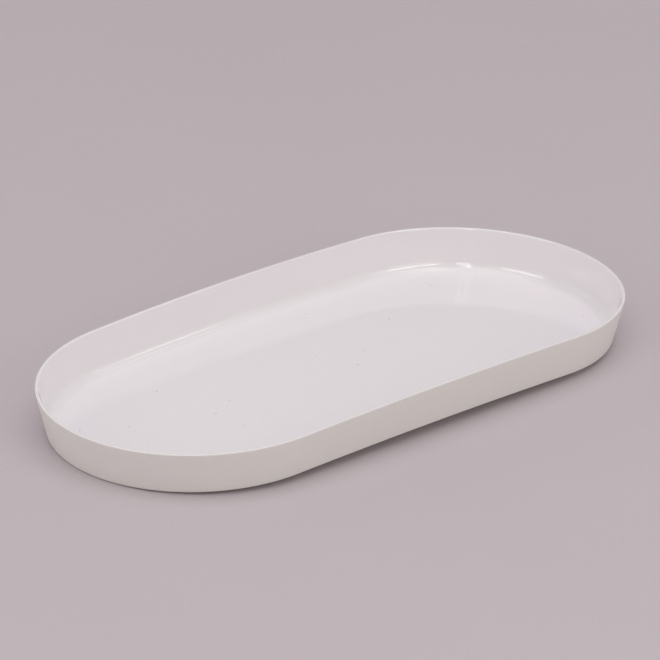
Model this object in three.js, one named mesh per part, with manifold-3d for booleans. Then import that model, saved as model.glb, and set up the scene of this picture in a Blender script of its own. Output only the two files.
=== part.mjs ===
// Oblong tray: one thin moulded shell with round ends and a flared wall, on four rubber feet.
// Millimetres. +X runs along the tray, +Y towards its rear side and +Z up.
// The origin is the middle of the footprint, on the surface that the feet stand on.

import * as THREE from "three";
import { mergeVertices } from "three/addons/utils/BufferGeometryUtils.js";
import Module from "manifold-3d";

const wasm = await Module();
wasm.setup();

// Shell: outline over the rim
const LENGTH = 380;
const WIDTH = 183.4;
const SIDE_RADIUS = 4880; // the long sides bow outwards a little, as arcs of this radius

// Shell: section through the wall
const DEPTH = 25.3; // from the underside to the top of the rim
const WALL = 1.8;
const FLOOR = 1.2;
const DRAFT = THREE.MathUtils.degToRad(14); // how far the wall leans outwards
const CORNER_RADIUS = 0.4; // outer edge, where the wall meets the underside
const FILLET_RADIUS = 7; // inner corner, where the wall meets the floor

// Shell: the whole shell is arched along its length, so only its ends come close to the table
const ARCH_RISE = 5.4; // of the middle above the very ends
const END_CLEARANCE = 0.4; // between the table and the underside at its two ends

// Feet: soft pads, each stuck in a shallow flat seat under the floor
const FOOT_X = 128;
const FOOT_Y = 48;
const FOOT_TOP_RADIUS = 8;
const FOOT_BOTTOM_RADIUS = 7.4;
const FOOT_EDGE = 0.6; // chamfer round the foot's lower edge
const SEAT_RADIUS = 8.4;
const SEAT_DEPTH = 0.4; // at the middle of the seat
const GAP = 0.3; // between a foot and its seat

// Facets
const END_STEPS = 28;
const SIDE_STEPS = 12;
const CORNER_STEPS = 4;
const LIP_STEPS = 6;
const FILLET_STEPS = 7;
const ROUND_STEPS = 32;

// Outline: two end arcs and two side arcs that meet without a corner.
const halfLength = LENGTH / 2;
const halfWidth = WIDTH / 2;
const halfDiagonalSquared = halfLength ** 2 + halfWidth ** 2;
const endRadius =
  (2 * SIDE_RADIUS * halfWidth - halfDiagonalSquared) / (2 * (SIDE_RADIUS - halfLength));
const endCentre = halfLength - endRadius;
const sideCentre = SIDE_RADIUS - halfWidth;
const joinAngle = Math.atan2(sideCentre, endCentre);

// Points of an arc, from its first angle up to but not including its last.
function openArc(x, y, radius, from, to, steps) {
  const curve = new THREE.EllipseCurve(x, y, radius, radius, from, to, false);
  return curve.getPoints(steps).slice(0, -1);
}

// One turn of the outline, moved inwards. It starts at the right end, so that points i and
// count - i are mirror images across the X axis.
function outline(inset) {
  const end = endRadius - inset;
  const side = SIDE_RADIUS - inset;
  return [
    ...openArc(endCentre, 0, end, 0, joinAngle, END_STEPS / 2),
    ...openArc(0, -sideCentre, side, joinAngle, Math.PI - joinAngle, SIDE_STEPS),
    ...openArc(-endCentre, 0, end, Math.PI - joinAngle, Math.PI + joinAngle, END_STEPS),
    ...openArc(0, sideCentre, side, Math.PI + joinAngle, 2 * Math.PI - joinAngle, SIDE_STEPS),
    ...openArc(endCentre, 0, end, -joinAngle, 0, END_STEPS / 2),
  ];
}

// Inset, from the rim, of a point that lies beyond the wall's middle surface by an offset.
function insetFromWall(height, offset) {
  const lip = WALL / 2;
  return lip + (offset + (DEPTH - lip - height) * Math.sin(DRAFT)) / Math.cos(DRAFT);
}

const cornerInset = insetFromWall(CORNER_RADIUS, CORNER_RADIUS - WALL / 2);
const undersideEnd = halfLength - cornerInset;

// How high the flat section is lifted at a place along the tray.
function archLift(x) {
  const wave = (place) => Math.cos((Math.PI * place) / LENGTH);
  return END_CLEARANCE + ARCH_RISE * (wave(x) - wave(undersideEnd));
}

// Section through the wall as (inset, height): lower outer corner, round lip, then inner fillet.
function wallSection() {
  const lip = WALL / 2;
  const filletHeight = FLOOR + FILLET_RADIUS;
  const filletInset = insetFromWall(filletHeight, lip + FILLET_RADIUS);
  const down = 1.5 * Math.PI;
  const outward = Math.PI + DRAFT;
  const arc = (x, y, radius, from, to, clockwise, steps) =>
    new THREE.EllipseCurve(x, y, radius, radius, from, to, clockwise).getPoints(steps);
  return [
    ...arc(cornerInset, CORNER_RADIUS, CORNER_RADIUS, down, outward, true, CORNER_STEPS),
    ...arc(lip, DEPTH - lip, lip, outward, DRAFT, true, LIP_STEPS),
    ...arc(filletInset, filletHeight, FILLET_RADIUS, outward, down, false, FILLET_STEPS),
  ];
}

// The shell is the section swept round the outline. Its underside and its floor are closed by
// strips that run straight across the tray, which follow the arch exactly.
function shellBlank() {
  const rings = wallSection().map((point) =>
    outline(point.x).map(({ x, y }) => new THREE.Vector3(x, y, point.y + archLift(x))),
  );
  const count = rings[0].length;
  const faces = [];
  const quad = (a, b, c, d) => faces.push(a, b, c, a, c, d);
  for (let ring = 0; ring < rings.length - 1; ring += 1) {
    for (let i = 0; i < count; i += 1) {
      const next = (i + 1) % count;
      const low = ring * count;
      const high = low + count;
      quad(low + i, low + next, high + next, high + i);
    }
  }
  const last = (rings.length - 1) * count;
  for (let i = 0; i < count / 2; i += 1) {
    const mirror = (count - i) % count;
    const nextMirror = count - i - 1;
    if (mirror !== i) {
      faces.push(mirror, nextMirror, i);
      faces.push(last + i, last + nextMirror, last + mirror);
    }
    if (nextMirror !== i + 1) {
      faces.push(nextMirror, i + 1, i);
      faces.push(last + i, last + i + 1, last + nextMirror);
    }
  }
  const geometry = new THREE.BufferGeometry().setFromPoints(rings.flat());
  geometry.setIndex(faces);
  return geometry;
}

function toSolid(geometry) {
  const bare = geometry.clone();
  bare.deleteAttribute("normal");
  bare.deleteAttribute("uv");
  const merged = mergeVertices(bare, 1e-3);
  const mesh = new wasm.Mesh({
    numProp: 3,
    vertProperties: new Float32Array(merged.attributes.position.array),
    triVerts: new Uint32Array(merged.index.array),
  });
  return new wasm.Manifold(mesh);
}

function toGeometry(solid) {
  const mesh = solid.getMesh();
  const geometry = new THREE.BufferGeometry();
  geometry.setAttribute("position", new THREE.BufferAttribute(mesh.vertProperties, 3));
  geometry.setIndex(new THREE.BufferAttribute(mesh.triVerts, 1));
  geometry.computeVertexNormals();
  return geometry;
}

const feet = [
  { name: "foot_front_left", x: -FOOT_X, y: -FOOT_Y },
  { name: "foot_front_right", x: FOOT_X, y: -FOOT_Y },
  { name: "foot_rear_left", x: -FOOT_X, y: FOOT_Y },
  { name: "foot_rear_right", x: FOOT_X, y: FOOT_Y },
];
const seatHeight = archLift(FOOT_X) + SEAT_DEPTH;
const footHeight = seatHeight - GAP;

// The shell with a flat round seat cut into its underside over each foot.
function shellGeometry() {
  let shell = toSolid(shellBlank());
  for (const { x, y } of feet) {
    const cutter = new THREE.CylinderGeometry(SEAT_RADIUS, SEAT_RADIUS, seatHeight, ROUND_STEPS);
    cutter.rotateX(Math.PI / 2);
    cutter.translate(x, y, seatHeight / 2);
    shell = shell.subtract(toSolid(cutter));
  }
  return toGeometry(shell);
}

function footGeometry() {
  const section = [
    new THREE.Vector2(0, 0),
    new THREE.Vector2(FOOT_BOTTOM_RADIUS - FOOT_EDGE, 0),
    new THREE.Vector2(FOOT_BOTTOM_RADIUS, FOOT_EDGE),
    new THREE.Vector2(FOOT_TOP_RADIUS, footHeight),
    new THREE.Vector2(0, footHeight),
  ];
  return new THREE.LatheGeometry(section, ROUND_STEPS).rotateX(Math.PI / 2);
}

const shellMaterial = new THREE.MeshStandardMaterial({
  color: 0xeeebec,
  roughness: 0.25,
  metalness: 0,
});
const footMaterial = new THREE.MeshStandardMaterial({
  color: 0x9c9a98,
  roughness: 0.7,
  metalness: 0,
});

const tray = new THREE.Group();

const shell = new THREE.Mesh(shellGeometry(), shellMaterial);
shell.name = "tray_shell";
tray.add(shell);

for (const { name, x, y } of feet) {
  const foot = new THREE.Mesh(footGeometry(), footMaterial.clone());
  foot.name = name;
  foot.position.set(x, y, 0);
  tray.add(foot);
}

export default tray;
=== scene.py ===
"""Looks for the oblong tray: a glossy white moulded shell on four soft feet, in metres."""

from math import atan2, cos, pi, radians, sin

import bmesh
import bpy
from mathutils import Matrix, Vector


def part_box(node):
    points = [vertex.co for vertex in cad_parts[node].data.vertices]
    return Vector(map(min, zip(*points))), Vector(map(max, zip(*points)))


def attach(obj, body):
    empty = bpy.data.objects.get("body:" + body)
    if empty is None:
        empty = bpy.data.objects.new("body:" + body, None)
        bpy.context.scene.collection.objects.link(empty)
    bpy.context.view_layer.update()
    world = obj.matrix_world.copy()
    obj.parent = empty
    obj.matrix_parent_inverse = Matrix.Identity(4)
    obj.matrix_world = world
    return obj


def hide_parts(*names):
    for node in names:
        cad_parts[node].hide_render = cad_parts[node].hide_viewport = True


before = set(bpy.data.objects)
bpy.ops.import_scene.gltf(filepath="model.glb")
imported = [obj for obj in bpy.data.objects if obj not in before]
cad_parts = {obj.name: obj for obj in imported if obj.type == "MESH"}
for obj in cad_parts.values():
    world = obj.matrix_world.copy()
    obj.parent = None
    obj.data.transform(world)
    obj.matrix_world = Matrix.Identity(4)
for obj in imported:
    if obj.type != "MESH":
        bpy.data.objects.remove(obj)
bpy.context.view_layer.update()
shell_low, shell_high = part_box("tray_shell")
FEET = ["foot_front_left", "foot_front_right", "foot_rear_left", "foot_rear_right"]

# ---------------------------------------------------------------- driving dimensions
MM = 0.001
HALF_LENGTH = shell_high.x
HALF_WIDTH = shell_high.y
LENGTH = 2 * HALF_LENGTH
SIDE_RADIUS = 4880 * MM
DEPTH = 25.3 * MM
WALL = 1.8 * MM
LIP_RADIUS = WALL / 2
FLOOR = 1.2 * MM
DRAFT = radians(14)
CORNER_RADIUS = 0.4 * MM
FILLET_RADIUS = 7 * MM
ARCH_RISE = 5.4 * MM
SEAT_RADIUS = 8.4 * MM
FOOT_GAP = 0.3 * MM
FOOT_EDGE_RADIUS = 0.6 * MM
FOOT_TAPER = 0.6 * MM
CREASE_ANGLE = radians(35)

# ---------------------------------------------------------------- mesh density
END_STEPS = 144
SIDE_STEPS = 72
RIM_STEPS = 24
RIM_PARTING = 9  # rim points that belong to the outside
CORNER_STEPS = 8
FILLET_STEPS = 16
WALL_STEPS = 12
FLAT_STEPS = 8
FLAT_INSET = 60 * MM  # innermost ring of the swept section; strips close the rest
LATHE_STEPS = 64
FOOT_EDGE_STEPS = 6

# ---------------------------------------------------------------- colours and finishes
POLISHED_WHITES = (0.872, 0.816, 0.858, 1), (0.882, 0.826, 0.868, 1)
SATIN_WHITES = (0.87, 0.834, 0.827, 1), (0.88, 0.844, 0.837, 1)
RUBBER_GREYS = (0.3, 0.292, 0.285, 1), (0.4, 0.39, 0.38, 1)
PAPER_LILACS = (0.55, 0.483, 0.521, 1), (0.57, 0.498, 0.537, 1)
DUST_GREY = (0.5, 0.47, 0.46, 1)
POLISHED_ROUGHNESS = (0.05, 0.08)
SATIN_ROUGHNESS = (0.28, 0.33)
RUBBER_ROUGHNESS = (0.62, 0.8)
PAPER_ROUGHNESS = 0.85
PLASTIC_IOR = 1.55
NOISE_SPAN = (0.3, 0.7)  # nearly all of a noise lies between these
DUST_PER_METRE = 70
DUST_FADE = (0.028, 0.042)  # where a speck starts to fade and where it ends, in cells
DUST_LEVEL = (0.97, 0.99)  # upward part of the normal, from no dust to dust

# ---------------------------------------------------------------- light levels
ROOM_LIGHT = 0.36
CEILING_LIGHT = 1.56
CEILING_EDGE = (0.85, 0.97)  # upward part of the direction, from room to ceiling
ROOM_COLOUR = (1.05, 0.97, 1.04, 1)
CEILING_COLOUR = (0.96, 1.01, 0.975, 1)
WARM = (1.015, 1.08, 0.86)
COOL = (0.96, 1.01, 0.975)
WHITE = (1, 1, 1)
SOFTBOX_DISTANCE = 1.7
SOFTBOX_SIZE = (1.3, 0.8)
GLEAM_DISTANCE = 1.6  # nearer than the softboxes, so that neither hides the other


# ---------------------------------------------------------------- camera
def bearing(azimuth, elevation):
    """Unit vector away from the tray, from degrees; azimuth 0 is in front of it, over -Y."""
    a, e = radians(azimuth), radians(elevation)
    return Vector((sin(a) * cos(e), -cos(a) * cos(e), sin(e)))


def make_camera():
    """Long lens, looking down at the near side and the left end."""
    back = bearing(azimuth=-41.83, elevation=24.26)
    roll = radians(0.71)
    distance = 11.48 * LENGTH
    aim = Vector((0.1146 * LENGTH, 0.1375 * LENGTH, 0.6 * MM))
    data = bpy.data.cameras.new("camera")
    data.sensor_width = 36
    data.lens = 418.5
    data.clip_start = 0.1
    data.clip_end = 100
    camera = bpy.data.objects.new("camera", data)
    turn = back.to_track_quat("Z", "Y").to_matrix() @ Matrix.Rotation(roll, 3, "Z")
    camera.matrix_world = Matrix.Translation(aim + back * distance) @ turn.to_4x4()
    bpy.context.scene.collection.objects.link(camera)
    bpy.context.scene.camera = camera


# ---------------------------------------------------------------- node helpers
class Nodes:
    """A short way to write a node tree."""

    def __init__(self, tree):
        self.tree = tree

    def add(self, kind, values=None, **settings):
        """A new node; each value is a number for a socket, or an output to link to it."""
        node = self.tree.nodes.new(kind)
        for name, value in settings.items():
            setattr(node, name, value)
        for socket, value in (values or {}).items():
            if isinstance(value, bpy.types.NodeSocket):
                self.link(node, socket, value)
            else:
                node.inputs[socket].default_value = value
        return node

    def link(self, node, socket, output):
        self.tree.links.new(output, node.inputs[socket])

    def multiply(self, first, second):
        return self.add("ShaderNodeMath", {0: first, 1: second}, operation="MULTIPLY").outputs[0]

    def remap(self, value, low, high, new_low, new_high, interpolation="LINEAR"):
        """Carries the range from low to high over to another one, and stops at its ends."""
        values = {"Value": value, 1: low, 2: high, 3: new_low, 4: new_high}
        return self.add("ShaderNodeMapRange", values, interpolation_type=interpolation).outputs[0]

    def noise(self, place, per_metre, detail):
        values = {"Vector": place, "Scale": per_metre, "Detail": detail}
        return self.add("ShaderNodeTexNoise", values).outputs["Fac"]

    def mix(self, factor, first, second):
        node = self.add("ShaderNodeMix", {0: factor, 6: first, 7: second}, data_type="RGBA")
        return node.outputs[2]

    def bump(self, height, strength, distance, normal=None):
        values = {"Height": height, "Strength": strength, "Distance": distance}
        if normal is not None:
            values["Normal"] = normal
        return self.add("ShaderNodeBump", values).outputs["Normal"]


def new_material(name):
    """An empty Principled material, its nodes, its shader and the place on the object, in metres."""
    material = bpy.data.materials.new(name)
    material.use_nodes = True
    nodes = Nodes(material.node_tree)
    shader = material.node_tree.nodes["Principled BSDF"]
    place = nodes.add("ShaderNodeTexCoord").outputs["Object"]
    return material, nodes, shader, place


# ---------------------------------------------------------------- materials
def polished_plastic():
    """Inside and rim: polished white plastic with a few specks of dust and faint handling haze."""
    material, nodes, shader, place = new_material("white_plastic_polished")
    haze = nodes.noise(place, per_metre=22, detail=4)
    cells = nodes.add("ShaderNodeTexVoronoi", {"Vector": place, "Scale": DUST_PER_METRE})
    near = nodes.remap(cells.outputs["Distance"], *DUST_FADE, 1, 0)
    normal = nodes.add("ShaderNodeNewGeometry").outputs["True Normal"]
    up = nodes.add("ShaderNodeSeparateXYZ", {"Vector": normal}).outputs["Z"]
    speck = nodes.multiply(near, nodes.remap(up, *DUST_LEVEL, 0, 1))
    clean = nodes.mix(haze, *POLISHED_WHITES)
    nodes.link(shader, "Base Color", nodes.mix(speck, clean, DUST_GREY))
    nodes.link(shader, "Roughness", nodes.remap(haze, *NOISE_SPAN, *POLISHED_ROUGHNESS))
    waves = nodes.noise(place, per_metre=60, detail=1)
    ripple = nodes.bump(waves, strength=0.08, distance=0.4 * MM)
    fine = nodes.noise(place, per_metre=1500, detail=2)
    grain = nodes.bump(fine, strength=0.05, distance=0.02 * MM, normal=ripple)
    nodes.link(shader, "Normal", grain)
    shader.inputs["IOR"].default_value = PLASTIC_IOR
    return material


def satin_plastic():
    """Outside and underside: the same plastic from the duller half of the mould."""
    material, nodes, shader, place = new_material("white_plastic_satin")
    haze = nodes.noise(place, per_metre=18, detail=4)
    nodes.link(shader, "Base Color", nodes.mix(haze, *SATIN_WHITES))
    nodes.link(shader, "Roughness", nodes.remap(haze, *NOISE_SPAN, *SATIN_ROUGHNESS))
    fine = nodes.noise(place, per_metre=2200, detail=3)
    nodes.link(shader, "Normal", nodes.bump(fine, strength=0.04, distance=0.03 * MM))
    shader.inputs["IOR"].default_value = PLASTIC_IOR
    return material


def foot_rubber():
    """Soft grey rubber: matt, slightly uneven, with a fine pitted skin."""
    material, nodes, shader, place = new_material("foot_rubber")
    cloud = nodes.noise(place, per_metre=300, detail=4)
    nodes.link(shader, "Base Color", nodes.mix(cloud, *RUBBER_GREYS))
    nodes.link(shader, "Roughness", nodes.remap(cloud, *NOISE_SPAN, *RUBBER_ROUGHNESS))
    pits = nodes.noise(place, per_metre=3500, detail=3)
    nodes.link(shader, "Normal", nodes.bump(pits, strength=0.35, distance=0.08 * MM))
    return material


def backdrop_paper():
    """Matt lilac-grey paper, faintly mottled."""
    material, nodes, shader, place = new_material("backdrop_paper")
    cloud = nodes.noise(place, per_metre=9, detail=5)
    nodes.link(shader, "Base Color", nodes.mix(cloud, *PAPER_LILACS))
    fibres = nodes.noise(place, per_metre=900, detail=3)
    nodes.link(shader, "Normal", nodes.bump(fibres, strength=0.15, distance=0.1 * MM))
    shader.inputs["Roughness"].default_value = PAPER_ROUGHNESS
    return material


# ---------------------------------------------------------------- curves and meshes
def arc(x, y, radius, start, stop, steps):
    """Points of an arc, both ends included."""
    angles = [start + (stop - start) * i / steps for i in range(steps + 1)]
    return [(x + radius * cos(a), y + radius * sin(a)) for a in angles]


def line(start, stop, steps):
    """Points between two others, with neither end."""
    return [
        tuple(a + (b - a) * i / steps for a, b in zip(start, stop))
        for i in range(1, steps)
    ]


def mesh_object(name, points, faces, materials, face_slots=None):
    """A smooth-shaded object in the scene."""
    mesh = bpy.data.meshes.new(name)
    mesh.from_pydata(points, [], faces)
    for material in materials:
        mesh.materials.append(material)
    if face_slots:
        mesh.polygons.foreach_set("material_index", face_slots)
    mesh.shade_smooth()
    piece = bpy.data.objects.new(name, mesh)
    bpy.context.scene.collection.objects.link(piece)
    return piece


def lathe(profile, centre):
    """Closed solid of revolution about a vertical axis; the profile starts and ends on the axis."""
    points, faces = [], []
    rings = profile[1:-1]
    points.append((centre[0], centre[1], profile[0][1]))
    for radius, height in rings:
        for i in range(LATHE_STEPS):
            a = 2 * pi * i / LATHE_STEPS
            points.append((centre[0] + radius * cos(a), centre[1] + radius * sin(a), height))
    points.append((centre[0], centre[1], profile[-1][1]))
    last = 1 + (len(rings) - 1) * LATHE_STEPS
    for i in range(LATHE_STEPS):
        j = (i + 1) % LATHE_STEPS
        faces.append((0, 1 + j, 1 + i))
        for ring in range(len(rings) - 1):
            low, high = 1 + ring * LATHE_STEPS, 1 + (ring + 1) * LATHE_STEPS
            faces.append((low + i, low + j, high + j, high + i))
        faces.append((last + i, last + j, len(points) - 1))
    return points, faces


def cut(piece, cutters):
    """Takes the cutters' solids out of the piece and removes them."""
    for cutter in cutters:
        modifier = piece.modifiers.new("cut", "BOOLEAN")
        modifier.operation = "DIFFERENCE"
        modifier.solver = "EXACT"
        modifier.object = cutter
    bpy.context.view_layer.update()
    evaluated = piece.evaluated_get(bpy.context.evaluated_depsgraph_get())
    mesh = bpy.data.meshes.new_from_object(evaluated)
    piece.modifiers.clear()
    piece.data = mesh
    for cutter in cutters:
        bpy.data.objects.remove(cutter)


def crease(piece):
    """Keeps a crisp edge wherever two faces meet at more than the crease angle."""
    shape = bmesh.new()
    shape.from_mesh(piece.data)
    for edge in shape.edges:
        if len(edge.link_faces) == 2:
            edge.smooth = edge.calc_face_angle() < CREASE_ANGLE
    shape.to_mesh(piece.data)
    shape.free()


# ---------------------------------------------------------------- outline and section
DIAGONAL_SQUARED = HALF_LENGTH ** 2 + HALF_WIDTH ** 2
END_RADIUS = (2 * SIDE_RADIUS * HALF_WIDTH - DIAGONAL_SQUARED) / (2 * (SIDE_RADIUS - HALF_LENGTH))
END_CENTRE = HALF_LENGTH - END_RADIUS
SIDE_CENTRE = SIDE_RADIUS - HALF_WIDTH
JOIN = atan2(SIDE_CENTRE, END_CENTRE)


def outline(inset):
    """One turn of the rim's outline, moved inwards; points i and count - i mirror each other."""
    end, side = END_RADIUS - inset, SIDE_RADIUS - inset
    return [
        *arc(END_CENTRE, 0, end, 0, JOIN, END_STEPS // 2)[:-1],
        *arc(0, -SIDE_CENTRE, side, JOIN, pi - JOIN, SIDE_STEPS)[:-1],
        *arc(-END_CENTRE, 0, end, pi - JOIN, pi + JOIN, END_STEPS)[:-1],
        *arc(0, SIDE_CENTRE, side, pi + JOIN, 2 * pi - JOIN, SIDE_STEPS)[:-1],
        *arc(END_CENTRE, 0, end, -JOIN, 0, END_STEPS // 2)[:-1],
    ]


def inset_from_wall(height, offset):
    """Inset of a point that lies inwards of the wall's middle surface by an offset."""
    return LIP_RADIUS + (offset + (DEPTH - LIP_RADIUS - height) * sin(DRAFT)) / cos(DRAFT)


CORNER_INSET = inset_from_wall(CORNER_RADIUS, CORNER_RADIUS - LIP_RADIUS)


def arch_lift(x):
    """How high the flat section is lifted at a place along the tray."""
    end = HALF_LENGTH - CORNER_INSET
    return shell_low.z + ARCH_RISE * (cos(pi * x / LENGTH) - cos(pi * end / LENGTH))


def lip_profile(start, stop):
    """Top of the wall: a crisp outer edge, where the mould parts, and a full round inside."""
    points = []
    for i in range(RIM_STEPS + 1):
        a = start + (stop - start) * i / RIM_STEPS
        x, y = cos(a), sin(a)
        crisp = pi / 2 < a < pi
        reach = LIP_RADIUS / (x ** 4 + y ** 4) ** 0.25 if crisp else LIP_RADIUS
        points.append((LIP_RADIUS + reach * x, DEPTH - LIP_RADIUS + reach * y))
    return points


def wall_section():
    """Section through half the shell as (inset, height, inside), from the underside to the floor."""
    fillet = FLOOR + FILLET_RADIUS
    fillet_inset = inset_from_wall(fillet, LIP_RADIUS + FILLET_RADIUS)
    down, outward = 1.5 * pi, pi + DRAFT
    corner = arc(CORNER_INSET, CORNER_RADIUS, CORNER_RADIUS, down, outward, CORNER_STEPS)
    rim = lip_profile(outward, DRAFT)
    inner = arc(fillet_inset, fillet, FILLET_RADIUS, outward, down, FILLET_STEPS)
    outside = [
        *line((FLAT_INSET, 0), corner[0], FLAT_STEPS),
        *corner,
        *line(corner[-1], rim[0], WALL_STEPS),
        *rim[:RIM_PARTING],
    ]
    inside = [
        *rim[RIM_PARTING:],
        *line(rim[-1], inner[0], WALL_STEPS),
        *inner,
        *line(inner[-1], (FLAT_INSET, FLOOR), FLAT_STEPS),
    ]
    return [(*p, False) for p in outside] + [(*p, True) for p in inside]


# ---------------------------------------------------------------- pieces
def middle(low, high):
    """Middle of a box, seen from above."""
    return (low.x + high.x) / 2, (low.y + high.y) / 2


def build_shell(polished, satin):
    """The section swept round the outline, with the underside and the floor closed by strips."""
    polished_slot, satin_slot = 0, 1
    section = wall_section()
    points, faces, slots = [], [], []
    for inset, height, _ in section:
        points += [(x, y, height + arch_lift(x)) for x, y in outline(inset)]
    count = len(outline(0))
    for ring in range(len(section) - 1):
        inside = section[ring][2]
        for i in range(count):
            j = (i + 1) % count
            low, high = ring * count, (ring + 1) * count
            faces.append((low + i, low + j, high + j, high + i))
            slots.append(polished_slot if inside else satin_slot)
    top = (len(section) - 1) * count
    for i in range(count // 2):
        # The first and the last strip have a corner twice, and become triangles.
        strip = list(dict.fromkeys((i, i + 1, count - i - 1, (count - i) % count)))
        faces.append(tuple(reversed(strip)))
        slots.append(satin_slot)
        faces.append(tuple(top + k for k in strip))
        slots.append(polished_slot)
    shell = mesh_object("shell_moulding", points, faces, [polished, satin], slots)
    cutters = []
    for number, node in enumerate(FEET):
        low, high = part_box(node)
        seat = high.z + FOOT_GAP
        profile = [(0, 0), (SEAT_RADIUS, 0), (SEAT_RADIUS, seat), (0, seat)]
        solid = lathe(profile, middle(low, high))
        cutters.append(mesh_object(f"cutter_{number}", *solid, [satin]))
    cut(shell, cutters)
    crease(shell)
    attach(shell, "root")
    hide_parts("tray_shell")


def build_feet(rubber):
    """Each foot is a low pad with a rounded lower edge and slightly tapered side."""
    for node in FEET:
        low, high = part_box(node)
        top_radius = (high.x - low.x) / 2
        edge_centre = top_radius - FOOT_TAPER - FOOT_EDGE_RADIUS, low.z + FOOT_EDGE_RADIUS
        rounded = arc(*edge_centre, FOOT_EDGE_RADIUS, 1.5 * pi, 2 * pi, FOOT_EDGE_STEPS)
        profile = [(0, low.z), *rounded, (top_radius, high.z), (0, high.z)]
        foot = mesh_object(node + "_pad", *lathe(profile, middle(low, high)), [rubber])
        crease(foot)
        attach(foot, "root")
        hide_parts(node)


# ---------------------------------------------------------------- studio
def build_floor():
    """A sheet of paper that reaches far beyond every view."""
    reach = 12
    corners = [(-reach, -reach, 0), (reach, -reach, 0), (reach, reach, 0), (-reach, reach, 0)]
    floor = mesh_object("floor", corners, [(0, 1, 2, 3)], [backdrop_paper()])


def area_light(name, azimuth, elevation, distance, size, watts, colour):
    """A rectangular light that faces the tray."""
    data = bpy.data.lights.new(name, "AREA")
    data.shape = "RECTANGLE"
    data.size, data.size_y = size
    data.energy = watts
    data.color = colour
    light = bpy.data.objects.new(name, data)
    back = bearing(azimuth, elevation)
    light.location = back * distance
    light.rotation_euler = back.to_track_quat("Z", "Y").to_euler()
    bpy.context.scene.collection.objects.link(light)
    return light


def softbox(name, azimuth, elevation, watts, colour):
    """A large light that shows everywhere."""
    area_light(name, azimuth, elevation, SOFTBOX_DISTANCE, SOFTBOX_SIZE, watts, colour)


def gleam(name, azimuth, elevation, size, watts, distance=GLEAM_DISTANCE):
    """A light that shows in polished surfaces only."""
    light = area_light(name, azimuth, elevation, distance, size, watts, WHITE)
    light.visible_diffuse = False


def studio_world():
    """Even room light with a brighter ceiling straight above."""
    world = bpy.data.worlds.new("studio")
    bpy.context.scene.world = world
    world.use_nodes = True
    nodes = Nodes(world.node_tree)
    direction = nodes.add("ShaderNodeTexCoord").outputs["Generated"]
    up = nodes.add("ShaderNodeSeparateXYZ", {"Vector": direction}).outputs["Z"]
    ceiling = nodes.remap(up, *CEILING_EDGE, 0, 1, interpolation="SMOOTHSTEP")
    background = world.node_tree.nodes["Background"]
    nodes.link(background, "Color", nodes.mix(ceiling, ROOM_COLOUR, CEILING_COLOUR))
    nodes.link(background, "Strength", nodes.remap(ceiling, 0, 1, ROOM_LIGHT, CEILING_LIGHT))


def arch_lamp():
    """Two upright tubes under a short panel, and a low bar: the arched streak in the far wall."""
    gleam("lamp_left", azimuth=-37.5, elevation=54, size=(0.03, 0.13), watts=0.48)
    gleam("lamp_right", azimuth=-29.5, elevation=54, size=(0.03, 0.13), watts=0.32)
    gleam("lamp_top", azimuth=-34.5, elevation=64, size=(0.13, 0.26), watts=1.6)
    gleam("lamp_low", azimuth=-36, elevation=32, size=(0.36, 0.15), watts=2.0)


def light_studio():
    """Low warm boxes all round, two high cool ones, and strips for the highlights in the fillet."""
    softbox("left_low", azimuth=-90, elevation=22, watts=2.8, colour=WARM)
    softbox("right_low", azimuth=3, elevation=25, watts=5.1, colour=WARM)
    softbox("side_low", azimuth=58, elevation=20, watts=1.0, colour=WARM)
    softbox("side_left_low", azimuth=-142, elevation=20, watts=2.3, colour=WARM)
    softbox("back_left", azimuth=178, elevation=20, watts=0.72, colour=WARM)
    softbox("back_right", azimuth=104, elevation=20, watts=0.72, colour=WARM)
    softbox("side_high", azimuth=58, elevation=65, watts=2.85, colour=COOL)
    softbox("left_high", azimuth=-96, elevation=65, watts=2.6, colour=COOL)
    gleam("left_strip", azimuth=-94, elevation=45, size=(1.0, 0.28), watts=6.2)
    gleam("right_strip", azimuth=16, elevation=43, size=(1.08, 0.11), watts=4.6)
    gleam("side_strip", azimuth=47, elevation=37.7, size=(0.12, 0.18), watts=0.34, distance=1.5)
    arch_lamp()
    studio_world()
    bpy.context.scene.view_settings.view_transform = "Standard"


make_camera()
build_shell(polished_plastic(), satin_plastic())
build_feet(foot_rubber())
build_floor()
light_studio()
